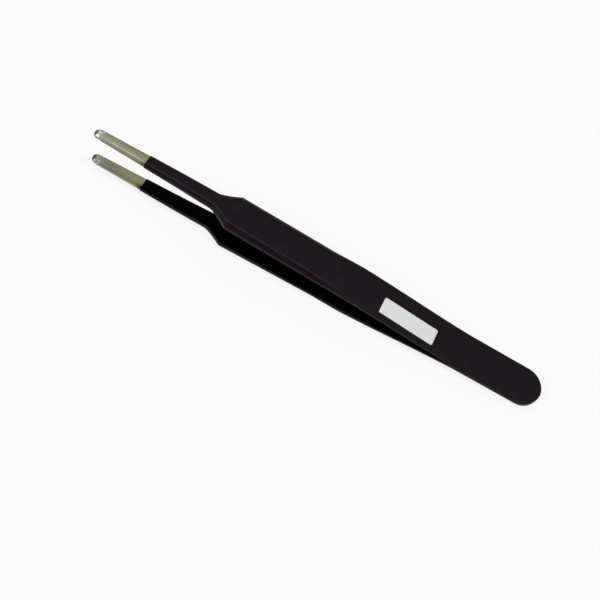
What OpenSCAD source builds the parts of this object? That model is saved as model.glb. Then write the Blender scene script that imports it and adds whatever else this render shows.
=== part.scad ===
// Anti-static tweezers with blunt flat tips.
// Two blanked and bevelled stainless arms lie face to face at the butt, where spot welds join them.
// They spring apart in front of the welds, and a black dissipative coat covers all but the tips.
//
// The tool is drawn in its own frame: u runs from the butt end to the tips, v across the width
// towards the near side, and w away from the middle plane on which the arms meet.
// It is then laid on its lower arm: tips to -X, opening direction +Z, width along Y.

/* [Overall] */
// Length from the butt end to the tips
tool_length = 120; // [114:1:126]
// Width of the rounded butt over its coat
butt_width = 9.5; // [8.6:0.1:10.4]
// Greatest width of the handle over its coat
handle_width = 9.7; // [9:0.1:10.6]
// Width of the handle just behind the shoulder
shoulder_width = 9.2; // [8.6:0.1:9.6]
// Thickness of the coat
coat_thickness = 0.1; // [0.06:0.01:0.14]

/* [Blank] */
// Thickness of each arm over its coat, where the two are welded
rear_thickness = 0.86; // [0.7:0.02:1]
// Thickness of each arm over its coat at the shoulder
shoulder_thickness = 2.05; // [1.7:0.05:2.2]
// Thickness of each arm over its coat at the root of the neck
neck_thickness = 1.8; // [1.5:0.05:1.9]
// Thickness of each tip
tip_thickness = 1.2; // [0.9:0.05:1.3]

/* [Spring bend] */
// Length of the welded stretch, from the butt end to the place where the arms part
weld_length = 20; // [18:0.5:20.5]
// Distance from the butt end to the line about which each arm flexes
flex_at = 22; // [21.5:0.5:24]
// Rise of each arm at that line, in millimetres over each millimetre of length
flex_rise = 0.065; // [0.06:0.001:0.07]
// Distance from the butt end to the end of the thin spring stretch
spring_to = 28; // [26:0.5:32]
// Distance from the butt end to the start of the straight handle
straight_from = 53; // [50:1:56]
// Height of the outer face over the middle plane at the start of the straight handle
straight_height = 3.76; // [3.6:0.01:3.9]
// Rise of the straight handle, in millimetres over each millimetre of length
straight_rise = 0.047; // [0.044:0.001:0.05]
// Height of the outer face over the middle plane at the tips
tip_height = 5.78; // [5.6:0.02:6]

/* [Shoulder and neck] */
// Distance from the tips to the shoulder corner
neck_length = 36.8; // [34:0.2:38]
// Length of the flare between the shoulder corner and the neck
flare_length = 5.1; // [4:0.1:6]
// Width of the neck at the end of the flare
neck_width = 4; // [3.6:0.1:4.6]
// Width of the tips just behind their rounded noses
tip_width = 2.7; // [2.3:0.1:3.1]
// Length of bare steel at each tip
bare_length = 13.8; // [8:0.2:20]
// Length of the rounded nose
nose_length = 1.5; // [0.9:0.1:1.8]

/* [Bevels] */
// Width of the bevel along the front of the handle, seen from above
handle_bevel_width = 1; // [0.7:0.1:1.5]
// Drop of the bevel along the front of the handle
handle_bevel_drop = 0.6; // [0.4:0.05:0.8]
// Width of the bevel along the neck, seen from above
neck_bevel_width = 0.58; // [0.4:0.02:0.7]
// Drop of the bevel along the neck
neck_bevel_drop = 0.34; // [0.3:0.02:0.5]
// Distance from the butt end at which the bevel starts
bevel_from = 51; // [49:0.5:52]
// Distance from the butt end at which the bevel has its full width
bevel_full = 58.5; // [56:0.5:62]
// Width of the small chamfer on the other edges
edge_chamfer = 0.14; // [0.08:0.02:0.2]

/* [Spot welds] */
// Number of spot welds
weld_count = 3; // [3]
// Diameter of each weld nugget
weld_diameter = 2.8; // [2:0.1:3.6]
// Depth of each weld nugget in each arm
weld_depth = 0.4; // [0.2:0.05:0.5]
// Distance from the butt end to the first weld
weld_first = 5.5; // [4.5:0.1:6]
// Distance between neighbouring welds
weld_pitch = 4.9; // [4.4:0.1:5]

/* [Hidden] */

coat_colour = [0.11, 0.09, 0.11];
steel_colour = [0.62, 0.61, 0.55];

butt_radius = butt_width / 2;
butt_first_turn = 12;
butt_straight = butt_radius * cos(butt_first_turn);
shoulder_at = tool_length - neck_length;
flare_end = shoulder_at + flare_length;
coat_end = tool_length - bare_length;
nose_start = tool_length - nose_length;
neck_settles = tool_length - 16;
neck_height = tip_height - 0.07;
shoulder_height = straight_height + straight_rise * (shoulder_at - straight_from);

flex_height = rear_thickness + flex_rise * (flex_at - weld_length) / 2;
// Length over which the coat thins to nothing much at its lip
lip_length = 0.4;
// Share of the neck's half width and end thickness left on the blunt face of the nose
nose_flat = 0.3;
nose_thin = 0.55;
// How sharply the flare leaves the shoulder corner: 1 is a straight line
flare_power = 1.27;
// The ground bevel rounds the corner: its upper line leaves the handle later and reaches the neck further on
top_flare_power = 2.6;
top_flare_start = shoulder_at + 0.6;
top_flare_end = flare_end + 1.3;

// How the tool lies: turned until the straight handle of the lower arm is level
lie_angle = atan(straight_rise);
lie_lift = (straight_height - straight_rise * straight_from) * cos(lie_angle);
nose_reach = tool_length * cos(lie_angle) + nose_outer(1) * sin(lie_angle);
butt_reach = rear_thickness * sin(lie_angle);
lie_shift = (nose_reach - butt_reach) / 2;

// Stations along the arm
butt_turns = [for (k = [0 : 9]) butt_first_turn + k * (90 - butt_first_turn) / 9];
heel_stops = [for (k = [1 : 3]) butt_straight + k * (weld_length - butt_straight) / 3];
crotch_stops = [weld_length + (flex_at - weld_length) / 2, flex_at];
bend_stops = [for (k = [0 : 13]) flex_at + k * (bevel_from - flex_at) / 13];
bevel_stops = [for (k = [1 : 4]) bevel_from + k * (bevel_full - bevel_from) / 4];
handle_stops = [for (k = [1 : 3]) bevel_full + k * (shoulder_at - bevel_full) / 3];
flare_stops = concat(
    [for (k = [1 : 2]) shoulder_at + k * (top_flare_start - shoulder_at) / 2],
    [for (k = [1 : 9]) top_flare_start + (top_flare_end - top_flare_start) * k / 9]
);
neck_stops = [
    for (k = [1 : 6])
        top_flare_end + k * (coat_end - lip_length - top_flare_end) / 6
];
coated_stops = concat(bend_stops, bevel_stops, handle_stops, flare_stops, neck_stops, [coat_end]);
bare_stops = [for (k = [1 : 3]) coat_end + k * (nose_start - coat_end) / 3];
nose_shares = [for (k = [1 : 7]) sin(k * 90 / 7)];

// A smooth curve from a to b over 0..1, with end slopes already multiplied by the span
function ease(a, slope_a, b, slope_b, t) =
    a * (2 * t * t * t - 3 * t * t + 1) + slope_a * (t * t * t - 2 * t * t + t)
    + b * (3 * t * t - 2 * t * t * t) + slope_b * (t * t * t - t * t);

function share(x, from, to) = min(1, max(0, (x - from) / (to - from)));

// Height of the outer face, over the coat
function outer_at(u) =
    u <= weld_length ? rear_thickness
    : u <= flex_at ? rear_thickness
        + (flex_height - rear_thickness) * pow(share(u, weld_length, flex_at), 2)
    : u <= straight_from ? ease(flex_height, flex_rise * (straight_from - flex_at),
        straight_height, straight_rise * (straight_from - flex_at), share(u, flex_at, straight_from))
    : u <= shoulder_at ? straight_height + straight_rise * (u - straight_from)
    : u <= neck_settles ? ease(shoulder_height, straight_rise * (neck_settles - shoulder_at),
        neck_height, 0, share(u, shoulder_at, neck_settles))
    : neck_height + (tip_height - neck_height) * share(u, neck_settles, tool_length);

// Thickness of one arm over its coat
function thickness_at(u) = lookup(u, [
    [spring_to, rear_thickness],
    [shoulder_at, shoulder_thickness],
    [flare_end, neck_thickness],
    [tool_length, tip_thickness]
]);

// Height of the inner face over the coat: the arms touch along the weld and part after it
function inner_at(u) = outer_at(u) - thickness_at(u);

function neck_half(u) = lookup(u, [[flare_end, neck_width / 2], [nose_start, tip_width / 2]]);

// Half width over the coat, for the edge and for the flat outer face inside its bevel
function edge_half(u) =
    let (handle = lookup(u, [
        [butt_radius, butt_radius], [flex_at, handle_width / 2],
        [bevel_from, handle_width / 2], [shoulder_at, shoulder_width / 2]
    ]))
    let (fall = pow(1 - share(u, shoulder_at, flare_end), flare_power))
    u <= shoulder_at ? handle : neck_half(u) + (shoulder_width / 2 - neck_half(u)) * fall;

function face_half(u) =
    let (fall = pow(1 - share(u, top_flare_start, top_flare_end), top_flare_power))
    let (handle = shoulder_width / 2 - handle_bevel_width)
    let (neck = neck_half(u) - neck_bevel_width)
    let (ground = neck + (handle - neck) * fall)
    u <= shoulder_at
        ? edge_half(u) - lookup(u, [[bevel_from, edge_chamfer], [bevel_full, handle_bevel_width]])
        : min(ground, edge_half(u) - neck_bevel_width / 2);

function drop_at(u) = lookup(u, [
    [bevel_from, edge_chamfer], [bevel_full, handle_bevel_drop],
    [shoulder_at, handle_bevel_drop], [flare_end, neck_bevel_drop]
]);

// A section holds u, edge half width, face half width, outer height, bevel drop and inner height.
// Skin is how far the section lies under the outside of the coat.
function section(u, skin) = [
    u, edge_half(u) - skin, face_half(u) - skin,
    outer_at(u) - skin, drop_at(u), inner_at(u) + skin
];

// The arms' mating faces are bare steel, so the skin there grows from nothing after the weld
function heel_section(u, skin) =
    let (inner = inner_at(u) + skin * share(u, weld_length, flex_at))
    [u, edge_half(u) - skin, face_half(u) - skin, outer_at(u) - skin, drop_at(u), inner];

function butt_section(turn, skin) =
    let (radius = butt_radius - skin)
    [
        butt_straight - radius * cos(turn), radius * sin(turn), radius * sin(turn) - edge_chamfer,
        rear_thickness - skin, edge_chamfer, 0
    ];

function nose_outer(k) =
    let (inner = inner_at(tool_length) + coat_thickness)
    let (full = outer_at(tool_length) - coat_thickness - inner)
    inner + full * (1 - (1 - nose_thin) * pow(k, 3));

function nose_section(k) =
    let (u = nose_start + nose_length * k)
    let (narrow = nose_flat + (1 - nose_flat) * pow(1 - pow(k, 2), 0.62))
    let (base = section(u, coat_thickness))
    let (inner = base[5])
    let (outer = inner + (base[3] - inner) * (1 - (1 - nose_thin) * pow(k, 3)))
    let (edge = base[1] * narrow)
    [u, edge, edge * base[2] / base[1], outer, base[4] * (1 - k / 2), inner];

// The ring of points round one arm, side 1 for the upper arm and -1 for the lower one
function arm_ring(s, side) =
    let (c = min(edge_chamfer, (s[3] - s[4] - s[5]) / 3))
    let (ring = [
        [-s[2], s[3]], [s[2], s[3]], [s[1], s[3] - s[4]], [s[1], s[5] + c],
        [s[1] - c, s[5]], [c - s[1], s[5]], [-s[1], s[5] + c], [-s[1], s[3] - s[4]]
    ])
    [for (p = ring) [-s[0], -p[0], side * p[1]]];

// Triangles between ring i and the next, n points a ring, all the points starting at base
function belt(n, i, base, flip) = [
    for (k = [0 : n - 1])
        let (a = base + i * n + k)
        let (b = base + i * n + (k + 1) % n)
        each flip
            ? [[a, a + n, b + n], [a, b + n, b]]
            : [[a, b + n, a + n], [a, b, b + n]]
];

// A solid through a list of rings, closed at both ends
module loft(rings, flip) {
    n = len(rings[0]);
    last = (len(rings) - 1) * n;
    points = [for (ring = rings) each ring];
    first_cap = [for (k = [0 : n - 1]) k];
    last_cap = [for (k = [n - 1 : -1 : 0]) last + k];
    sides = [for (i = [0 : len(rings) - 2]) each belt(n, i, 0, flip)];
    caps = flip ? [first_cap, last_cap] : [[for (k = [n - 1 : -1 : 0]) k], [for (k = [0 : n - 1]) last + k]];
    polyhedron(points, concat(sides, caps));
}

// A shell between two lists of rings, open at its last end and closed or open at its first
module shell(outside, inside, flip, closed) {
    n = len(outside[0]);
    count = len(outside);
    base = count * n;
    points = concat([for (ring = outside) each ring], [for (ring = inside) each ring]);
    skins = [
        for (i = [0 : count - 2]) each concat(belt(n, i, 0, flip), belt(n, i, base, !flip))
    ];
    first_rim = [
        for (k = [0 : n - 1])
            let (next = (k + 1) % n)
            each flip
                ? [[k, next, base + next], [k, base + next, base + k]]
                : [[k, base + next, next], [k, base + k, base + next]]
    ];
    end = (count - 1) * n;
    last_rim = [
        for (k = [0 : n - 1])
            let (next = (k + 1) % n)
            each flip
                ? [[end + k, base + end + next, end + next], [end + k, base + end + k, base + end + next]]
                : [[end + k, end + next, base + end + next], [end + k, base + end + next, base + end + k]]
    ];
    forward = [for (k = [0 : n - 1]) k];
    backward = [for (k = [n - 1 : -1 : 0]) k];
    lids = flip
        ? [forward, [for (k = backward) base + k]]
        : [backward, [for (k = forward) base + k]];
    polyhedron(points, concat(skins, last_rim, closed ? lids : first_rim));
}

// Lays the tool on its lower arm
module lie() {
    translate([lie_shift, 0, lie_lift])
        rotate([0, lie_angle, 0])
            children();
}

module arm(side) {
    stops = concat(coated_stops, bare_stops);
    sections = concat(
        [for (u = stops) section(u, coat_thickness)],
        [for (k = nose_shares) nose_section(k)]
    );
    loft([for (s = sections) arm_ring(s, side)], side < 0);
}

module arm_coating(side) {
    outside = [for (u = coated_stops) arm_ring(section(u, u < coat_end ? 0 : coat_thickness / 2), side)];
    inside = [for (u = coated_stops) arm_ring(section(u, coat_thickness), side)];
    shell(outside, inside, side < 0, false);
}

module nugget(index) {
    reach = weld_diameter / 2;
    translate([-(weld_first + index * weld_pitch), 0, 0])
        rotate_extrude($fn = 48)
            polygon([
                [0, -weld_depth], [reach * 0.7, -weld_depth], [reach, 0],
                [reach * 0.7, weld_depth], [0, weld_depth]
            ]);
}

module heel(side) {
    sections = concat(
        [for (turn = butt_turns) butt_section(turn, coat_thickness)],
        [for (u = concat(heel_stops, crotch_stops)) heel_section(u, coat_thickness)]
    );
    difference() {
        loft([for (s = sections) heel_ring(s, side)], side < 0);
        for (index = [0 : weld_count - 1])
            nugget(index);
    }
}

// The heel's ring has square inner corners, so that the two heels close up along their seam
function heel_ring(s, side) = [
    for (p = [
        [-s[2], s[3]], [s[2], s[3]], [s[1], s[3] - s[4]], [s[1], s[5]],
        [-s[1], s[5]], [-s[1], s[3] - s[4]]
    ])
        [-s[0], -p[0], side * p[1]]
];

// The ring round both heels
function heels_ring(s) = [
    for (p = [
        [-s[2], s[3]], [s[2], s[3]], [s[1], s[3] - s[4]], [s[1], s[4] - s[3]],
        [s[2], -s[3]], [-s[2], -s[3]], [-s[1], s[4] - s[3]], [-s[1], s[3] - s[4]]
    ])
        [-s[0], -p[0], p[1]]
];

module upper_arm() {
    color(steel_colour) lie() arm(1);
}

module upper_arm_coating() {
    color(coat_colour) lie() arm_coating(1);
}

module upper_heel() {
    color(steel_colour) lie() heel(1);
}

module lower_arm() {
    color(steel_colour) lie() arm(-1);
}

module lower_arm_coating() {
    color(coat_colour) lie() arm_coating(-1);
}

module lower_heel() {
    color(steel_colour) lie() heel(-1);
}

module heel_coating() {
    stops = concat(heel_stops, crotch_stops);
    outside = concat([for (turn = butt_turns) butt_section(turn, 0)], [for (u = stops) heel_section(u, 0)]);
    inside = concat(
        [for (turn = butt_turns) butt_section(turn, coat_thickness)],
        [for (u = stops) heel_section(u, coat_thickness)]
    );
    color(coat_colour)
        lie()
            shell([for (s = outside) heels_ring(s)], [for (s = inside) heels_ring(s)], false, true);
}

module weld_nugget_rear() {
    color(steel_colour) lie() nugget(0);
}

module weld_nugget_middle() {
    color(steel_colour) lie() nugget(1);
}

module weld_nugget_front() {
    color(steel_colour) lie() nugget(2);
}

upper_arm();
upper_arm_coating();
upper_heel();
lower_arm();
lower_arm_coating();
lower_heel();
heel_coating();
weld_nugget_rear();
weld_nugget_middle();
weld_nugget_front();
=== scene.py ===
"""Anti-static tweezers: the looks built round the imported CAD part.

Each blanked arm is lofted in its own frame, in millimetres: u runs from the butt end to the tips, v across
the width towards the near side, and w away from the middle plane on which the two arms meet. The tool is
then laid on its lower arm, as the CAD part lies, with its tips towards -X and its width along Y.
"""

import logging
import math
from dataclasses import dataclass, field
from enum import Enum

import bmesh
import bpy
from mathutils import Matrix, Vector


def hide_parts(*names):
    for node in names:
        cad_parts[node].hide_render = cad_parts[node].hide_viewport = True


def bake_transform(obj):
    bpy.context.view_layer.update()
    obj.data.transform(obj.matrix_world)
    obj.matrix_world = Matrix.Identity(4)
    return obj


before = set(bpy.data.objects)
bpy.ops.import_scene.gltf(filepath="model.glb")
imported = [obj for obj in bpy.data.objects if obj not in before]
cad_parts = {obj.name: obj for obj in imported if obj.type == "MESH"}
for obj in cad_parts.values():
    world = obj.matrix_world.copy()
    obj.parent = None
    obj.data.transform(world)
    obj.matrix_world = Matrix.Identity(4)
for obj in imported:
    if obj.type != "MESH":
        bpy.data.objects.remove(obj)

log = logging.getLogger("tweezers")
MILLIMETRE = 0.001
PLACE = "tool_place"


class Side(Enum):
    """The two arms, as the sign of their distance from the middle plane."""

    UPPER = 1
    LOWER = -1


def share(x: float, start: float, end: float) -> float:
    """Returns how far x is between start and end, from 0 to 1."""
    return min(1.0, max(0.0, (x - start) / (end - start)))


def ease(a: float, slope_a: float, b: float, slope_b: float, t: float) -> float:
    """Joins two heights by a smooth curve.

    Args:
        a: Height at the start.
        slope_a: Slope at the start, times the span.
        b: Height at the end.
        slope_b: Slope at the end, times the span.
        t: Place between them, from 0 to 1.

    Returns:
        The height at t.
    """
    return (
        a * (2 * t**3 - 3 * t**2 + 1)
        + slope_a * (t**3 - 2 * t**2 + t)
        + b * (3 * t**2 - 2 * t**3)
        + slope_b * (t**3 - t**2)
    )


def between(x: float, stops: list[tuple[float, float]]) -> float:
    """Returns the value at x on straight lines through the stops."""
    if x <= stops[0][0]:
        return stops[0][1]
    for (x0, y0), (x1, y1) in zip(stops, stops[1:]):
        if x <= x1:
            return y0 + (y1 - y0) * (x - x0) / (x1 - x0)
    return stops[-1][1]


@dataclass(frozen=True)
class Section:
    """One cut across an arm, in millimetres."""

    u: float
    face: float
    rim: float
    foot: float
    top: float
    drop: float
    inner: float


@dataclass(frozen=True)
class ArmProfile:
    """The named sizes of one arm over its coat, in millimetres, as in the part's source."""

    length: float = 120.0
    butt_width: float = 9.5
    handle_width: float = 9.7
    shoulder_width: float = 9.2
    coat: float = 0.1
    rear_thickness: float = 0.86
    shoulder_thickness: float = 2.05
    neck_thickness: float = 1.8
    tip_thickness: float = 1.2
    weld_length: float = 20.0
    flex_at: float = 22.0
    flex_rise: float = 0.065
    spring_to: float = 28.0
    straight_from: float = 53.0
    straight_height: float = 3.76
    straight_rise: float = 0.047
    tip_height: float = 5.78
    neck_sink: float = 0.07
    neck_length: float = 36.8
    flare_length: float = 5.1
    flare_power: float = 1.27
    top_flare_delay: float = 0.6
    top_flare_extra: float = 1.3
    top_flare_power: float = 2.6
    neck_width: float = 4.0
    tip_width: float = 2.7
    bare_length: float = 13.8
    nose_length: float = 1.5
    nose_flat: float = 0.3
    nose_thin: float = 0.55
    nose_round: float = 0.62
    handle_bevel_width: float = 1.0
    handle_bevel_drop: float = 0.6
    neck_bevel_width: float = 0.58
    neck_bevel_drop: float = 0.34
    bevel_from: float = 51.0
    bevel_full: float = 58.5
    edge_chamfer: float = 0.14
    butt_first_turn: float = 5.0

    @property
    def shoulder_at(self) -> float:
        """Where the shoulder corner is."""
        return self.length - self.neck_length

    @property
    def flare_end(self) -> float:
        """Where the flare meets the neck."""
        return self.shoulder_at + self.flare_length

    @property
    def coat_end(self) -> float:
        """Where the coat ends and the bare tip starts."""
        return self.length - self.bare_length

    @property
    def nose_start(self) -> float:
        """Where the rounded nose starts."""
        return self.length - self.nose_length

    @property
    def lie_angle(self) -> float:
        """Angle by which the tool is turned, so that the lower handle is level."""
        return math.atan(self.straight_rise)

    def outer(self, u: float) -> float:
        """Height of the outer face over the middle plane."""
        flex_height = self.rear_thickness + self.flex_rise * (self.flex_at - self.weld_length) / 2
        shoulder_height = self.straight_height + self.straight_rise * (self.shoulder_at - self.straight_from)
        settles = self.length - 16
        neck_height = self.tip_height - self.neck_sink
        if u <= self.weld_length:
            return self.rear_thickness
        if u <= self.flex_at:
            part = share(u, self.weld_length, self.flex_at) ** 2
            return self.rear_thickness + (flex_height - self.rear_thickness) * part
        if u <= self.straight_from:
            span = self.straight_from - self.flex_at
            part = share(u, self.flex_at, self.straight_from)
            return ease(
                flex_height, self.flex_rise * span, self.straight_height, self.straight_rise * span, part
            )
        if u <= self.shoulder_at:
            return self.straight_height + self.straight_rise * (u - self.straight_from)
        if u <= settles:
            slope = self.straight_rise * (settles - self.shoulder_at)
            return ease(shoulder_height, slope, neck_height, 0, share(u, self.shoulder_at, settles))
        return neck_height + self.neck_sink * share(u, settles, self.length)

    def thickness(self, u: float) -> float:
        """Thickness of one arm over its coat."""
        return between(u, [
            (self.spring_to, self.rear_thickness),
            (self.shoulder_at, self.shoulder_thickness),
            (self.flare_end, self.neck_thickness),
            (self.length, self.tip_thickness),
        ])

    def inner(self, u: float) -> float:
        """Height of the inner face over the middle plane."""
        return self.outer(u) - self.thickness(u)

    def neck_half(self, u: float) -> float:
        """Half width of the neck and tip."""
        return between(u, [(self.flare_end, self.neck_width / 2), (self.nose_start, self.tip_width / 2)])

    def edge_half(self, u: float) -> float:
        """Half width of the arm at its rim."""
        if u > self.shoulder_at:
            neck = self.neck_half(u)
            fall = (1 - share(u, self.shoulder_at, self.flare_end)) ** self.flare_power
            return neck + (self.shoulder_width / 2 - neck) * fall
        return between(u, [
            (self.butt_width / 2, self.butt_width / 2),
            (self.flex_at, self.handle_width / 2),
            (self.bevel_from, self.handle_width / 2),
            (self.shoulder_at, self.shoulder_width / 2),
        ])

    def face_half(self, u: float) -> float:
        """Half width of the flat outer face inside its ground bevel."""
        if u <= self.shoulder_at:
            bevel = between(u, [
                (self.bevel_from, self.edge_chamfer),
                (self.bevel_full, self.handle_bevel_width),
            ])
            return self.edge_half(u) - bevel
        start = self.shoulder_at + self.top_flare_delay
        fall = (1 - share(u, start, self.flare_end + self.top_flare_extra)) ** self.top_flare_power
        neck = self.neck_half(u) - self.neck_bevel_width
        ground = neck + (self.shoulder_width / 2 - self.handle_bevel_width - neck) * fall
        return min(ground, self.edge_half(u) - self.neck_bevel_width / 2)

    def drop(self, u: float) -> float:
        """Depth of the ground bevel."""
        return between(u, [
            (self.bevel_from, self.edge_chamfer),
            (self.bevel_full, self.handle_bevel_drop),
            (self.shoulder_at, self.handle_bevel_drop),
            (self.flare_end, self.neck_bevel_drop),
        ])

    def butt_section(self, turn: float, skin: float) -> Section:
        """Cuts across the round butt at an angle of turn degrees from its end."""
        centre = self.butt_width / 2 * math.cos(math.radians(12))
        radius = self.butt_width / 2 - skin
        half = radius * math.sin(math.radians(turn))
        u = centre - radius * math.cos(math.radians(turn)) * centre / (self.butt_width / 2)
        face = max(half - self.edge_chamfer, half * 0.7)
        return Section(u, face, half, half, self.rear_thickness - skin, self.edge_chamfer, 0.0)

    def section(self, u: float, skin: float) -> Section:
        """Cuts across the arm at u, skin millimetres under the outside of its coat."""
        rim = self.edge_half(u) - skin
        lift = skin * share(u, self.weld_length, self.flex_at)
        return Section(
            u, self.face_half(u) - skin, rim, rim, self.outer(u) - skin, self.drop(u), self.inner(u) + lift
        )

    def nose_section(self, part: float, skin: float) -> Section:
        """Cuts across the rounded nose, part of the way from its start to the very tip."""
        u = self.nose_start + self.nose_length * part
        base = self.section(u, skin)
        narrow = self.nose_flat + (1 - self.nose_flat) * (1 - part**2) ** self.nose_round
        thin = 1 - (1 - self.nose_thin) * part**3
        rim = base.rim * narrow
        return Section(
            u, base.face * narrow, rim, rim,
            base.inner + (base.top - base.inner) * thin, base.drop * (1 - part / 2), base.inner,
        )

    def laid(self) -> Matrix:
        """Returns the turn and shift that lay the tool on its lower arm, from millimetres to metres."""
        angle = self.lie_angle
        tip_inner = self.inner(self.length) + self.coat
        full = self.outer(self.length) - self.coat - tip_inner
        nose_top = tip_inner + full * self.nose_thin
        reach = self.length * math.cos(angle) + nose_top * math.sin(angle)
        shift = (reach - self.rear_thickness * math.sin(angle)) / 2
        lift = (self.straight_height - self.straight_rise * self.straight_from) * math.cos(angle)
        place = Matrix.Translation((shift, 0, lift)) @ Matrix.Rotation(angle, 4, "Y")
        return Matrix.Scale(MILLIMETRE, 4) @ place

    def world(self, u: float, v: float, w: float) -> Vector:
        """Returns the place of a point of the tool in the row frame, in metres."""
        return self.laid() @ Vector((-u, -v, w))


def deselect() -> None:
    """Leaves nothing selected, in object mode."""
    if bpy.context.object and bpy.context.object.mode != "OBJECT":
        bpy.ops.object.mode_set(mode="OBJECT")
    bpy.ops.object.select_all(action="DESELECT")


def activate(obj: bpy.types.Object) -> None:
    """Selects one object alone and makes it the active one."""
    deselect()
    obj.select_set(True)
    bpy.context.view_layer.objects.active = obj


def apply_modifier(obj: bpy.types.Object, kind: str, **settings: object) -> None:
    """Adds a modifier with its settings and applies it.

    Args:
        obj: The mesh that it works on.
        kind: Blender's name for the kind of modifier.
        settings: The modifier's own values.
    """
    activate(obj)
    modifier = obj.modifiers.new(kind.lower(), kind)
    for name, value in settings.items():
        setattr(modifier, name, value)
    bpy.ops.object.modifier_apply(modifier=modifier.name)


@dataclass
class Loft:
    """Draws out a bar through the cuts of an arm by extruding its end face, as by hand."""

    name: str
    sections: list[Section]
    obj: bpy.types.Object = field(init=False)

    def start(self) -> None:
        """Adds a cube as the first slice and cuts its two upper long corners off."""
        first, second = self.sections[0], self.sections[1]
        bpy.ops.mesh.primitive_cube_add(size=1, location=(-(first.u + second.u) / 2, 0, 0.5))
        self.obj = bpy.context.object
        self.obj.name = self.name
        self.obj.scale = (second.u - first.u, 1, 1)
        bpy.ops.object.transform_apply(location=True, rotation=True, scale=True)
        bpy.ops.object.mode_set(mode="EDIT")
        bpy.ops.mesh.select_mode(type="EDGE")
        bpy.ops.mesh.select_all(action="DESELECT")
        mesh = bmesh.from_edit_mesh(self.obj.data)
        for edge in mesh.edges:
            a, b = (vertex.co for vertex in edge.verts)
            edge.select_set(abs(a.x - b.x) > 1e-4 and a.z > 0.9 and b.z > 0.9)
        bmesh.update_edit_mesh(self.obj.data)
        bpy.ops.mesh.bevel(offset=0.2, segments=1, affect="EDGES")
        bpy.ops.mesh.select_mode(type="VERT")

    def shape_ring(self, section: Section) -> None:
        """Sets the three pairs of corners of the ring at a cut to its widths and heights."""
        mesh = bmesh.from_edit_mesh(self.obj.data)
        mesh.verts.ensure_lookup_table()
        far = max(vertex.co.x for vertex in mesh.verts)
        near = min(vertex.co.x for vertex in mesh.verts)
        at = far if abs(far + section.u) < abs(near + section.u) else near
        ring = sorted(
            (vertex for vertex in mesh.verts if abs(vertex.co.x - at) < 1e-4), key=lambda vertex: vertex.co.z
        )
        targets = (
            (ring[0:2], section.foot, section.inner),
            (ring[2:4], section.rim, section.top - section.drop),
            (ring[4:6], section.face, section.top),
        )
        order = [([vertex.index for vertex in pair], half, height) for pair, half, height in targets]
        for pair, half, height in order:
            mesh = bmesh.from_edit_mesh(self.obj.data)
            mesh.verts.ensure_lookup_table()
            for vertex in mesh.verts:
                if vertex.select:
                    vertex.select_set(False)
            for index in pair:
                mesh.verts[index].select_set(True)
            present = mesh.verts[pair[0]].co.copy()
            mesh.select_flush_mode()
            bmesh.update_edit_mesh(self.obj.data)
            bpy.ops.transform.resize(value=(1, half / abs(present.y), 1), center_override=(0, 0, 0))
            bpy.ops.transform.translate(value=(0, 0, height - present.z))

    def draw_out(self, step: float) -> None:
        """Extrudes the end face towards the tips by a step."""
        bpy.ops.mesh.select_mode(type="FACE")
        bpy.ops.mesh.select_all(action="DESELECT")
        mesh = bmesh.from_edit_mesh(self.obj.data)
        near = min(vertex.co.x for vertex in mesh.verts)
        for face in mesh.faces:
            face.select_set(all(abs(vertex.co.x - near) < 1e-4 for vertex in face.verts))
        bmesh.update_edit_mesh(self.obj.data)
        bpy.ops.mesh.extrude_region_move(TRANSFORM_OT_translate={"value": (-step, 0, 0)})
        bpy.ops.mesh.select_mode(type="VERT")

    def build(self) -> bpy.types.Object:
        """Builds the whole bar.

        Returns:
            The new object, in millimetres in the tool's own frame.
        """
        deselect()
        self.start()
        self.shape_ring(self.sections[0])
        self.shape_ring(self.sections[1])
        for before, section in zip(self.sections[1:], self.sections[2:]):
            self.draw_out(section.u - before.u)
            self.shape_ring(section)
        bpy.ops.object.mode_set(mode="OBJECT")
        return self.obj


def mark_places(obj: bpy.types.Object) -> None:
    """Keeps each point's place in the tool, in millimetres, for the materials to read."""
    attribute = obj.data.attributes.new(PLACE, "FLOAT_VECTOR", "POINT")
    for point, value in zip(obj.data.vertices, attribute.data):
        value.vector = (-point.co.x, -point.co.y, point.co.z)


def report(obj: bpy.types.Object) -> None:
    """Logs a piece with its size in millimetres and its faces."""
    sizes = [round(value / MILLIMETRE, 2) for value in obj.dimensions]
    log.info("%s: %s mm, %d faces", obj.name, sizes, len(obj.data.polygons))


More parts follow.
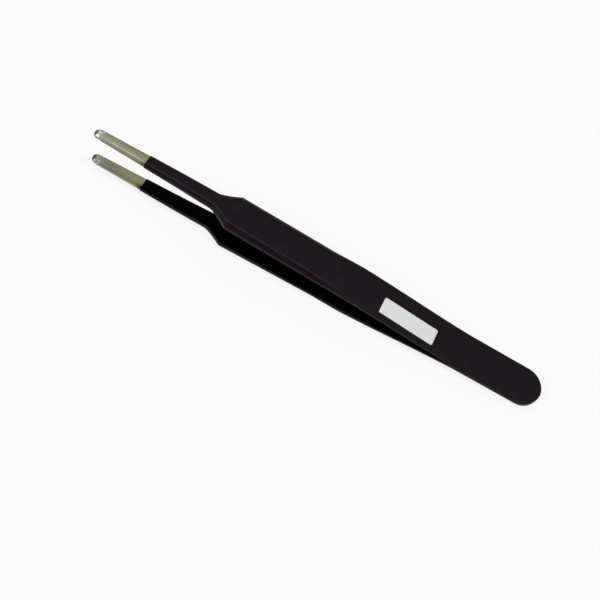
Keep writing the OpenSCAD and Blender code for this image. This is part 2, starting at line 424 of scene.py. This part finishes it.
class Paint:
    """Node-tree helpers that the finishes share."""

    def __init__(self, name: str) -> None:
        """Starts a material with an empty tree, a shader and its output."""
        self.material = bpy.data.materials.new(name)
        self.material.use_nodes = True
        self.tree = self.material.node_tree
        self.tree.nodes.clear()
        self.shader = self.add("ShaderNodeBsdfPrincipled")
        output = self.add("ShaderNodeOutputMaterial")
        self.join(self.shader.outputs["BSDF"], output.inputs["Surface"])

    def add(self, kind: str, **settings: object) -> bpy.types.Node:
        """Adds a node of a kind with its settings."""
        node = self.tree.nodes.new(kind)
        for name, value in settings.items():
            setattr(node, name, value)
        return node

    def join(self, source: bpy.types.NodeSocket, target: bpy.types.NodeSocket) -> None:
        """Links two sockets."""
        self.tree.links.new(source, target)

    def place(self) -> bpy.types.NodeSocket:
        """Returns the place in the tool, in millimetres."""
        return self.add("ShaderNodeAttribute", attribute_name=PLACE).outputs["Vector"]

    def axes(self, place: bpy.types.NodeSocket) -> tuple[bpy.types.NodeSocket, ...]:
        """Splits a place into u, v and w."""
        node = self.add("ShaderNodeSeparateXYZ")
        self.join(place, node.inputs[0])
        return tuple(node.outputs)

    def stretched(self, place: bpy.types.NodeSocket,
                  scale: tuple[float, float, float]) -> bpy.types.NodeSocket:
        """Scales a place along each axis, so that a pattern on it is stretched."""
        node = self.add("ShaderNodeMapping")
        node.inputs["Scale"].default_value = scale
        self.join(place, node.inputs["Vector"])
        return node.outputs["Vector"]

    def noise(self, place: bpy.types.NodeSocket, scale: float, detail: float) -> bpy.types.NodeSocket:
        """Returns noise from 0 to 1 on a place."""
        node = self.add("ShaderNodeTexNoise")
        node.inputs["Scale"].default_value = scale
        node.inputs["Detail"].default_value = detail
        self.join(place, node.inputs["Vector"])
        return node.outputs["Fac"]

    def fit(self, value: bpy.types.NodeSocket, source: tuple[float, float],
            target: tuple[float, float]) -> bpy.types.NodeSocket:
        """Maps a range of a value onto another range, held at its ends."""
        node = self.add("ShaderNodeMapRange")
        self.join(value, node.inputs["Value"])
        node.inputs["From Min"].default_value = source[0]
        node.inputs["From Max"].default_value = source[1]
        node.inputs["To Min"].default_value = target[0]
        node.inputs["To Max"].default_value = target[1]
        return node.outputs["Result"]

    def sum(self, kind: str, a: bpy.types.NodeSocket,
            b: bpy.types.NodeSocket | float) -> bpy.types.NodeSocket:
        """Combines two values by a kind of sum."""
        node = self.add("ShaderNodeMath", operation=kind)
        self.join(a, node.inputs[0])
        if isinstance(b, (int, float)):
            node.inputs[1].default_value = b
        else:
            self.join(b, node.inputs[1])
        return node.outputs[0]

    def tint(self, fac: bpy.types.NodeSocket, a: object,
             b: tuple[float, float, float]) -> bpy.types.NodeSocket:
        """Mixes colour a towards colour b by fac."""
        node = self.add("ShaderNodeMix", data_type="RGBA")
        self.join(fac, node.inputs["Factor"])
        if isinstance(a, tuple):
            node.inputs[6].default_value = (*a, 1)
        else:
            self.join(a, node.inputs[6])
        node.inputs[7].default_value = (*b, 1)
        return node.outputs[2]

    def bump(self, height: bpy.types.NodeSocket, strength: float, distance: float) -> None:
        """Roughens the surface by a height pattern."""
        node = self.add("ShaderNodeBump")
        node.inputs["Strength"].default_value = strength
        node.inputs["Distance"].default_value = distance
        self.join(height, node.inputs["Height"])
        self.join(node.outputs["Normal"], self.shader.inputs["Normal"])


class CoatShadingZone(Enum):
    """Where the coat lies on an arm: its name, its specular level and a scale on its black that paints light
    and shade, lighter on the bevels and sides as a painted highlight, darker between the arms as painted
    shade.
    """

    OUTER = ("outer", 0.14, 1.0)
    EDGE = ("edge", 0.05, 1.7)
    INNER = ("inner", 0.02, 0.2)


@dataclass(frozen=True)
class BlackCoat:
    """The thin satin black dissipative coat, with less sheen round the edges and between the arms, its black
    painted lighter round the edges as a painted highlight and darker between the arms as painted shade.
    """

    zone: CoatShadingZone
    colour: tuple[float, float, float] = (0.0046, 0.0017, 0.0040)
    worn: tuple[float, float, float] = (0.0066, 0.0031, 0.0058)
    smooth: float = 0.3
    rough: float = 0.38

    def make(self) -> bpy.types.Material:
        """Returns the coat's material."""
        name, specular, painted_light_scale = self.zone.value
        paint = Paint(f"black_coat_{name}")
        # Scaling the black paints light and shade: lighter on the bevels and sides as a painted highlight,
        # darker between the arms as painted shade.
        colour, worn = (tuple(part * painted_light_scale for part in tone) for tone in (self.colour, self.worn))
        place = paint.place()
        cloud = paint.noise(place, 0.35, 3)
        grain = paint.noise(place, 6.0, 2)
        colour = paint.tint(paint.fit(cloud, (0.35, 0.7), (0, 1)), colour, worn)
        paint.join(colour, paint.shader.inputs["Base Color"])
        paint.join(paint.fit(cloud, (0.3, 0.7), (self.smooth, self.rough)), paint.shader.inputs["Roughness"])
        paint.shader.inputs["Specular IOR Level"].default_value = specular
        paint.bump(grain, 0.12, 0.00002)
        return paint.material


@dataclass(frozen=True)
class BareSteel:
    """Ground stainless steel with lengthwise grain and a warm tint, with painted shade as a dark rim at the
    nose and along the tip's long edges, and the lower blade painted lighter than the upper.
    """

    side: Side
    profile: ArmProfile
    colour: tuple[float, float, float] = (0.33, 0.33, 0.225)
    warm: tuple[float, float, float] = (0.37, 0.365, 0.29)
    # Painted light: the lower blade's lighter, greener copy of the same steel.
    lower_blade_lit_tone: tuple[float, float, float] = (0.47, 0.475, 0.28)
    worn: tuple[float, float, float] = (0.86, 0.87, 0.84)
    # Painted shade for the tip's long edges, where its bevels slope away from the light.
    ground: tuple[float, float, float] = (0.16, 0.14, 0.10)
    dark: tuple[float, float, float] = (0.10, 0.095, 0.085)
    stain: tuple[float, float, float] = (0.10, 0.06, 0.035)
    roughness: float = 0.46

    def make(self) -> bpy.types.Material:
        """Returns the steel's material for one arm."""
        paint = Paint(f"bare_steel_{self.side.name.lower()}")
        place = paint.place()
        u, v, _ = paint.axes(place)
        end = self.profile.length
        streak = paint.noise(paint.stretched(place, (0.06, 1.6, 1.6)), 2.2, 4)
        cloud = paint.noise(place, 0.5, 3)
        wander = paint.fit(cloud, (0, 1), (-1.2, 1.2))
        forward = paint.fit(paint.sum("ADD", u, wander), (end - 9, end - 3.5), (0, 1))
        # The lower blade's steel is painted lighter and greener than the upper's: the same steel, painted as
        # lit differently.
        base = self.colour if self.side is Side.UPPER else self.lower_blade_lit_tone
        colour = paint.tint(forward, base, self.warm)
        colour = paint.tint(paint.fit(streak, (0.52, 0.75), (0, 0.45)), colour, self.dark)
        # Painted shade: darker towards the long edges of the tip, on its sloping bevels.
        off_middle = paint.sum("ABSOLUTE", v, 0.0)
        colour = paint.tint(paint.fit(off_middle, (0.75, 1.1), (0, 0.42)), colour, self.ground)
        fleck = paint.fit(paint.noise(place, 1.7, 2), (0.5, 0.62), (0, 0.9))
        behind = paint.sum("MULTIPLY", paint.fit(u, (end - 2.6, end - 1.6), (0, 1)), fleck)
        colour = paint.tint(behind, colour, self.worn)
        # Painted shade: a dark ragged rim at the nose, where its end slopes away from the light.
        nose_shade_reach = paint.sum("ADD", u, paint.sum("MULTIPLY", wander, 0.12))
        tip = paint.fit(nose_shade_reach, (end - 0.9, end - 0.45), (0, 0.85))
        colour = paint.tint(tip, colour, (0.035, 0.040, 0.055))
        lip = self.profile.coat_end
        back = paint.fit(paint.sum("ADD", u, wander), (lip + 0.2, lip + 1.4), (1, 0))
        near = paint.fit(v, (0.1, 1.1), (0, 0.9))
        colour = paint.tint(paint.sum("MULTIPLY", back, near), colour, self.stain)
        paint.join(colour, paint.shader.inputs["Base Color"])
        paint.shader.inputs["Metallic"].default_value = 1.0
        paint.join(
            paint.fit(streak, (0.3, 0.7), (self.roughness - 0.06, self.roughness + 0.1)),
            paint.shader.inputs["Roughness"],
        )
        paint.bump(streak, 0.25, 0.00002)
        return paint.material


@dataclass(frozen=True)
class PaleInk:
    """The pale ink of the blank patch printed on the handle."""

    colour: tuple[float, float, float] = (0.78, 0.79, 0.79)
    thin: tuple[float, float, float] = (0.60, 0.61, 0.62)

    def make(self) -> bpy.types.Material:
        """Returns the ink's material."""
        paint = Paint("pale_ink")
        place = paint.place()
        speck = paint.noise(place, 9.0, 3)
        colour = paint.tint(paint.fit(speck, (0.45, 0.7), (0, 0.7)), self.colour, self.thin)
        paint.join(colour, paint.shader.inputs["Base Color"])
        paint.join(paint.fit(speck, (0.3, 0.7), (0.5, 0.65)), paint.shader.inputs["Roughness"])
        paint.shader.inputs["Specular IOR Level"].default_value = 0.3
        paint.bump(speck, 0.1, 0.00001)
        return paint.material


@dataclass(frozen=True)
class WeldMetal:
    """Re-solidified steel of the spot welds, on the CAD nodes' own coordinates."""

    colour: tuple[float, float, float] = (0.40, 0.40, 0.42)
    blued: tuple[float, float, float] = (0.16, 0.17, 0.24)

    def make(self) -> bpy.types.Material:
        """Returns the weld metal's material."""
        paint = Paint("weld_metal")
        place = paint.add("ShaderNodeTexCoord").outputs["Object"]
        ripple = paint.noise(place, 1400.0, 4)
        colour = paint.tint(paint.fit(ripple, (0.4, 0.7), (0, 1)), self.colour, self.blued)
        paint.join(colour, paint.shader.inputs["Base Color"])
        paint.shader.inputs["Metallic"].default_value = 1.0
        paint.join(paint.fit(ripple, (0.3, 0.7), (0.35, 0.6)), paint.shader.inputs["Roughness"])
        paint.bump(ripple, 0.3, 0.00003)
        return paint.material


@dataclass
class Arm:
    """One arm of the tweezers: the steel blade and the coat over it."""

    side: Side
    profile: ArmProfile
    coat_finishes: list[bpy.types.Material]
    steel_finish: bpy.types.Material
    face_radius: float = 0.3
    rim_radius: float = 0.1
    rear_radius: float = 0.06
    neck_radius: float = 0.2
    butt_turns: int = 16
    flare_steps: int = 22
    nose_steps: int = 10
    flat_enough: float = 0.87

    @property
    def body(self) -> str:
        """Name of the CAD body that the free arm belongs to."""
        return f"{self.side.name.lower()}_arm"

    def stations(self) -> list[float]:
        """Returns the places of the cuts from the butt's full width to the end of the coat."""
        p = self.profile
        stops: list[float] = []
        flare_top = p.flare_end + p.top_flare_extra
        for start, end, steps in (
            (p.butt_width / 2, p.weld_length, 4),
            (p.weld_length, p.flex_at, 3),
            (p.flex_at, p.bevel_from, 18),
            (p.bevel_from, p.bevel_full, 6),
            (p.bevel_full, p.shoulder_at, 5),
            (p.shoulder_at, flare_top, self.flare_steps),
            (flare_top, p.coat_end, 8),
        ):
            stops += [start + (end - start) * k / steps for k in range(1, steps + 1)]
        return stops

    def cuts(self, skin: float, whole: bool) -> list[Section]:
        """Returns the cuts of the arm, skin millimetres inside its coat.

        Args:
            skin: Depth under the outside of the coat.
            whole: True for the arm to its nose, False for the coated stretch only.

        Returns:
            The cuts, from the butt end towards the tips.
        """
        p = self.profile
        first = p.butt_first_turn
        turns = [first + k * (90 - first) / self.butt_turns for k in range(self.butt_turns + 1)]
        cuts = [p.butt_section(turn, skin) for turn in turns]
        cuts += [p.section(u, skin) for u in self.stations()]
        if whole:
            bare = p.nose_start - p.coat_end
            cuts += [p.section(p.coat_end + bare * k / 4, skin) for k in range(1, 5)]
            parts = [math.sin(math.radians(k * 90 / self.nose_steps)) for k in range(1, self.nose_steps + 1)]
            cuts += [p.nose_section(part, skin) for part in parts]
        return cuts

    def round_edges(self, obj: bpy.types.Object, skin: float) -> None:
        """Rounds the long corners: the line of the outer face widely, the rim and the foot finely."""
        p = self.profile
        weights = obj.data.attributes.new("bevel_weight_edge", "FLOAT", "EDGE")
        for edge in obj.data.edges:
            a, b = (obj.data.vertices[index].co for index in edge.vertices)
            u = -(a.x + b.x) / 2
            top = p.outer(u) - skin
            along = abs(a.x - b.x) > 1e-4
            size = 0.0
            if along and min(a.z, b.z) > top - 0.03 and u < p.nose_start:
                size = between(u, [(p.bevel_from, self.rear_radius), (p.bevel_full, self.face_radius)])
                if u > p.shoulder_at:
                    size = between(u, [(p.shoulder_at, self.face_radius), (p.flare_end, self.neck_radius)])
            elif along and max(a.z, b.z) > p.inner(u) + 0.2:
                size = between(u, [(p.bevel_from, self.rear_radius), (p.bevel_full, self.rim_radius)])
            elif along and u > p.flex_at:
                size = self.rear_radius
            if size and u > p.nose_start:
                size = self.rear_radius / 2
            weights.data[edge.index].value = size
        apply_modifier(
            obj, "BEVEL", limit_method="WEIGHT", width=1.0, segments=3, profile=0.5,
            offset_type="OFFSET", use_clamp_overlap=False,
        )

    def open_coat(self, obj: bpy.types.Object) -> None:
        """Takes the end face and the hidden mating face off the coat, so that it is a skin."""
        p = self.profile
        activate(obj)
        bpy.ops.object.mode_set(mode="EDIT")
        bpy.ops.mesh.select_mode(type="FACE")
        bpy.ops.mesh.select_all(action="DESELECT")
        mesh = bmesh.from_edit_mesh(obj.data)
        for face in mesh.faces:
            middle = face.calc_center_median()
            at_lip = all(abs(vertex.co.x + p.coat_end) < 1e-3 for vertex in face.verts)
            mating = abs(face.normal.z) > 0.9 and max(vertex.co.z for vertex in face.verts) < 0.01
            face.select_set(at_lip or (mating and -middle.x < p.weld_length))
        bmesh.update_edit_mesh(obj.data)
        bpy.ops.mesh.delete(type="FACE")
        bpy.ops.object.mode_set(mode="OBJECT")

    def finish(self, obj: bpy.types.Object, materials: list[bpy.types.Material]) -> None:
        """Turns a piece to its side, lays it in the row frame and dresses it.

        Args:
            obj: The piece, built as an upper one in the tool's own frame.
            materials: Its finish, or the coat's three: outside, round the edges and between the arms, the
                last two being copies of the black painted lighter and darker for light and shade.
        """
        activate(obj)
        obj.data.materials.clear()
        for material in materials:
            obj.data.materials.append(material)
        if len(materials) == 3:
            # Faces pointing up take the plain coat, sideways ones the copy painted lighter, those facing the
            # other arm the copy painted in shade.
            for face in obj.data.polygons:
                up = face.normal.z
                face.material_index = 0 if up > self.flat_enough else 1 if up > -self.flat_enough else 2
        if self.side is Side.LOWER:
            bpy.ops.object.mode_set(mode="EDIT")
            bpy.ops.mesh.select_all(action="SELECT")
            bpy.ops.transform.resize(value=(1, 1, -1), center_override=(0, 0, 0))
            bpy.ops.mesh.flip_normals()
            bpy.ops.object.mode_set(mode="OBJECT")
        mark_places(obj)
        obj.data.transform(self.profile.laid())
        obj.data.update()
        bpy.ops.object.shade_smooth_by_angle(angle=math.radians(28))
        self.profile.world(self.profile.flex_at - 6.5, 0, 0)
        self.profile.world(self.profile.flex_at + 6.5, 0, 0)
        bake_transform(obj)

    def build_coat(self) -> bpy.types.Object:
        """Builds the coat's half over this arm.

        Returns:
            The finished skin.
        """
        name = f"{self.side.name.lower()}_coat"
        obj = Loft(name, self.cuts(0.0, whole=False)).build()
        self.round_edges(obj, 0.0)
        self.open_coat(obj)
        apply_modifier(obj, "SOLIDIFY", thickness=self.profile.coat * 0.98, offset=-1.0, use_even_offset=True)
        self.finish(obj, self.coat_finishes)
        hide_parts(f"{self.body}_coating", "heel_coating")
        return obj

    def build_blade(self) -> bpy.types.Object:
        """Builds the steel blank under the coat, bare at its tip.

        Returns:
            The finished blade.
        """
        name = f"{self.side.name.lower()}_blade"
        obj = Loft(name, self.cuts(self.profile.coat, whole=True)).build()
        self.round_edges(obj, self.profile.coat)
        self.finish(obj, [self.steel_finish])
        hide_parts(self.body, f"{self.side.name.lower()}_heel")
        return obj


@dataclass
class PrintedPatch:
    """The blank pale patch printed on the upper handle. It bears nothing."""

    profile: ArmProfile
    ink: bpy.types.Material
    start: float = 28.2
    end: float = 42.8
    near: float = 3.4
    far: float = -1.0
    corner: float = 0.35
    ink_height: float = 0.02
    clearance: float = 0.004
    rows: int = 12

    def build(self) -> bpy.types.Object:
        """Builds the patch as a thin sheet that follows the handle's outer face.

        Returns:
            The finished patch.
        """
        deselect()
        middle = ((self.start + self.end) / 2, (self.near + self.far) / 2)
        bpy.ops.mesh.primitive_plane_add(size=1, location=(-middle[0], -middle[1], 0))
        obj = bpy.context.object
        obj.name = "printed_patch"
        obj.scale = (self.end - self.start, self.near - self.far, 1)
        bpy.ops.object.transform_apply(location=True, rotation=True, scale=True)
        bpy.ops.object.mode_set(mode="EDIT")
        bpy.ops.mesh.select_all(action="SELECT")
        bpy.ops.mesh.bevel(offset=self.corner, segments=4, affect="VERTICES")
        for row in range(1, self.rows):
            u = self.start + (self.end - self.start) * row / self.rows
            bpy.ops.mesh.select_all(action="SELECT")
            bpy.ops.mesh.bisect(plane_co=(-u, 0, 0), plane_no=(1, 0, 0))
        bpy.ops.object.mode_set(mode="OBJECT")
        for vertex in obj.data.vertices:
            vertex.co.z = self.profile.outer(-vertex.co.x) + self.clearance
        apply_modifier(obj, "SOLIDIFY", thickness=self.ink_height, offset=1.0)
        mark_places(obj)
        obj.data.transform(self.profile.laid())
        obj.data.materials.clear()
        obj.data.materials.append(self.ink)
        self.profile.world(self.profile.flex_at - 6.5, 0, 0)
        self.profile.world(self.profile.flex_at + 6.5, 0, 0)
        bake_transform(obj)
        return obj


@dataclass
class Welds:
    """The three spot welds that hold the arms together, kept as the CAD draws them."""

    names: tuple[str, ...] = ("weld_nugget_rear", "weld_nugget_middle", "weld_nugget_front")

    def dress(self, material: bpy.types.Material) -> list[bpy.types.Object]:
        """Gives each nugget its metal.

        Args:
            material: The weld metal.

        Returns:
            The dressed nodes.
        """
        nodes = [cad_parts[name] for name in self.names]
        for node in nodes:
            node.data.materials.clear()
            node.data.materials.append(material)
        return nodes


@dataclass
class Studio:
    """A plain pale floor, soft lamps and a camera at the photograph's viewing angle."""

    profile: ArmProfile
    elevation: float = 59.906
    azimuth: float = 0.049
    roll: float = 29.399
    distance: float = 212.841
    focal_pixels: float = 925.69
    image_pixels: float = 600.0
    sensor: float = 36.0
    aim: tuple[float, float] = (59.905, 9.277)
    floor_size: float = 4.0
    floor_glow: float = 0.8
    world_strength: float = 0.5

    def make_floor(self) -> bpy.types.Object:
        """Makes the pale floor that the tweezers lie on."""
        deselect()
        bpy.ops.mesh.primitive_plane_add(size=self.floor_size, location=(0, 0, 0))
        floor = bpy.context.object
        floor.name = "floor"
        paint = Paint("pale_floor")
        place = paint.add("ShaderNodeTexCoord").outputs["Object"]
        cloud = paint.noise(place, 3.0, 2)
        colour = paint.tint(paint.fit(cloud, (0.3, 0.7), (0, 1)), (0.93, 0.93, 0.93), (0.90, 0.90, 0.90))
        paint.join(colour, paint.shader.inputs["Base Color"])
        paint.shader.inputs["Roughness"].default_value = 0.9
        paint.shader.inputs["Specular IOR Level"].default_value = 0.1
        self.whiten(paint)
        floor.data.materials.append(paint.material)
        return floor

    def whiten(self, paint: Paint) -> None:
        """Lets what sees the floor, straight or in a mirror, see it partly as plain white.

        Args:
            paint: The floor's material, whose shadow stays visible.
        """
        rays = paint.add("ShaderNodeLightPath")
        seen = paint.sum("ADD", rays.outputs["Is Camera Ray"], rays.outputs["Is Glossy Ray"])
        seen = paint.sum("ADD", seen, rays.outputs["Is Transmission Ray"])
        glow = paint.add("ShaderNodeEmission")
        mix = paint.add("ShaderNodeMixShader")
        output = paint.tree.nodes["Material Output"]
        paint.join(paint.fit(seen, (0, 1), (0, self.floor_glow)), mix.inputs["Fac"])
        paint.join(paint.shader.outputs["BSDF"], mix.inputs[1])
        paint.join(glow.outputs["Emission"], mix.inputs[2])
        paint.join(mix.outputs["Shader"], output.inputs["Surface"])

    def make_world(self) -> None:
        """Makes the even, dim light of the room."""
        world = bpy.data.worlds.new("studio")
        bpy.context.scene.world = world
        world.use_nodes = True
        nodes, links = world.node_tree.nodes, world.node_tree.links
        nodes.clear()
        background = nodes.new("ShaderNodeBackground")
        background.inputs["Color"].default_value = (1, 1, 1, 1)
        background.inputs["Strength"].default_value = self.world_strength
        output = nodes.new("ShaderNodeOutputWorld")
        links.new(background.outputs["Background"], output.inputs["Surface"])

    def add_lamp(self, name: str, place: tuple[float, float, float], size: tuple[float, float],
                 power: float) -> None:
        """Adds a soft area lamp that looks at the middle of the tool.

        Args:
            name: The lamp's name.
            place: Where it hangs, in metres.
            size: Its length and width, in metres.
            power: Its power in watts.
        """
        light = bpy.data.lights.new(name, "AREA")
        light.shape = "RECTANGLE"
        light.size, light.size_y = size
        light.energy = power
        lamp = bpy.data.objects.new(name, light)
        bpy.context.scene.collection.objects.link(lamp)
        lamp.location = place
        lamp.rotation_mode = "QUATERNION"
        lamp.rotation_quaternion = (-Vector(place)).to_track_quat("-Z", "Y")

    def make_camera(self) -> None:
        """Makes the camera from the fitted viewing angle, turned about its own axis."""
        elevation, azimuth, roll = (math.radians(a) for a in (self.elevation, self.azimuth, self.roll))
        right = Vector((-math.cos(azimuth), -math.sin(azimuth), 0))
        level = Vector((math.sin(azimuth), -math.cos(azimuth), 0))
        forward = level * math.cos(elevation) - Vector((0, 0, 1)) * math.sin(elevation)
        up = level * math.sin(elevation) + Vector((0, 0, 1)) * math.cos(elevation)
        across = right * math.cos(roll) + up * math.sin(roll)
        rise = up * math.cos(roll) - right * math.sin(roll)
        eye = Vector((*self.aim, 0)) - forward * self.distance
        flip = Matrix.Diagonal((-1, -1, 1))
        lie = self.profile.laid()
        turn = lie.to_3x3() * (1 / MILLIMETRE)
        axes = [(turn @ (flip @ axis)).normalized() for axis in (across, rise, -forward)]
        camera = bpy.data.cameras.new("camera")
        camera.sensor_width = self.sensor
        camera.lens = self.focal_pixels / self.image_pixels * self.sensor
        camera.clip_start, camera.clip_end = 0.01, 50
        holder = bpy.data.objects.new("camera", camera)
        bpy.context.scene.collection.objects.link(holder)
        place = Matrix(axes).transposed().to_4x4()
        place.translation = lie @ (flip @ eye)
        holder.matrix_world = place
        bpy.context.scene.camera = holder

    def build(self) -> None:
        """Makes the floor, the sky, the lamps and the camera."""
        self.make_floor()
        self.make_world()
        self.add_lamp("key", (-0.7, -0.5, 0.7), (0.6, 0.6), 2.8)
        self.add_lamp("strip", (0.0, 0.04, 0.9), (1.0, 0.05), 3.0)
        self.make_camera()


def main() -> None:
    """Builds the tweezers piece by piece, then the studio, and reports each."""
    logging.basicConfig(level=logging.INFO, format="%(name)s %(message)s")
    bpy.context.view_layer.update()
    profile = ArmProfile()
    coat = [BlackCoat(zone).make() for zone in CoatShadingZone]
    for side in Side:
        arm = Arm(side, profile, coat, BareSteel(side, profile).make())
        report(arm.build_blade())
        report(arm.build_coat())
    report(PrintedPatch(profile, PaleInk().make()).build())
    for node in Welds().dress(WeldMetal().make()):
        report(node)
    Studio(profile).build()
    deselect()
    bpy.context.scene.view_settings.view_transform = "Standard"


if __name__ == "__main__":
    main()
